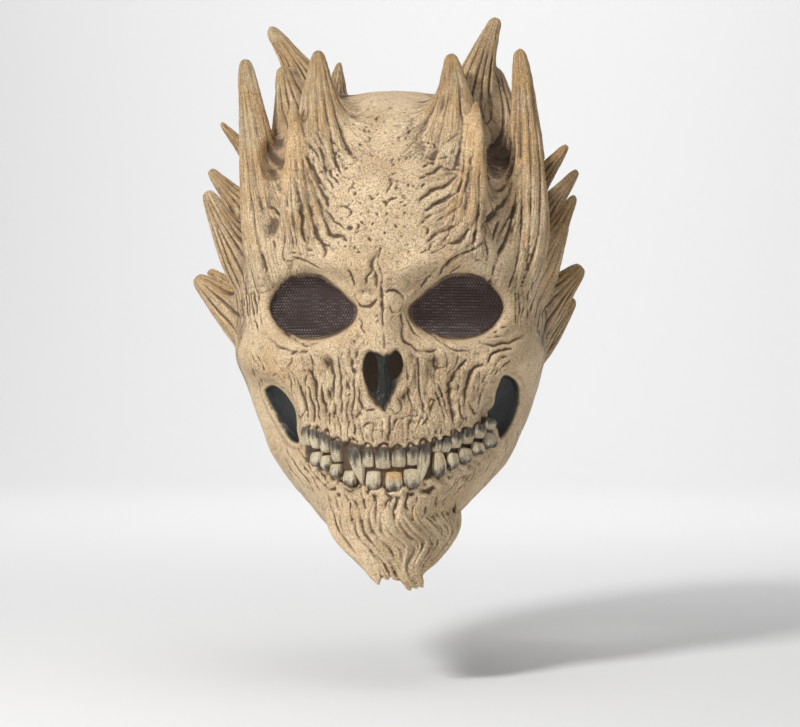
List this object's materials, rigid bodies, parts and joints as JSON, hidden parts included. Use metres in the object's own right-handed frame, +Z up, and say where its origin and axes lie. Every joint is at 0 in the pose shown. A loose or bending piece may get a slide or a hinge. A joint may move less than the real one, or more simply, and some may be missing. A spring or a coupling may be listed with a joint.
{
  "type": "skull mask",
  "caption": "Hollow full-head horned skull mask of cast latex, with bared teeth, a ridged beard and dark net in the eye openings.",
  "frame": {"origin": "inside of the crown, on the head's upright axis, where the mask sits on the top of the head", "axes": "+Z up, the face looks along -Y, +X on the right of someone who looks at the face"},
  "size_m": [0.2534, 0.2315, 0.3682],
  "materials": {
    "painted_latex": "matt cast latex, painted as old bone with ochre tips and dark washed recesses",
    "eye_net": "fine dark see-through net"
  },
  "bodies": {
    "root": {"mask_shell": "painted_latex", "eye_mesh_left": "eye_net", "eye_mesh_right": "eye_net"}
  },
  "joints": []
}
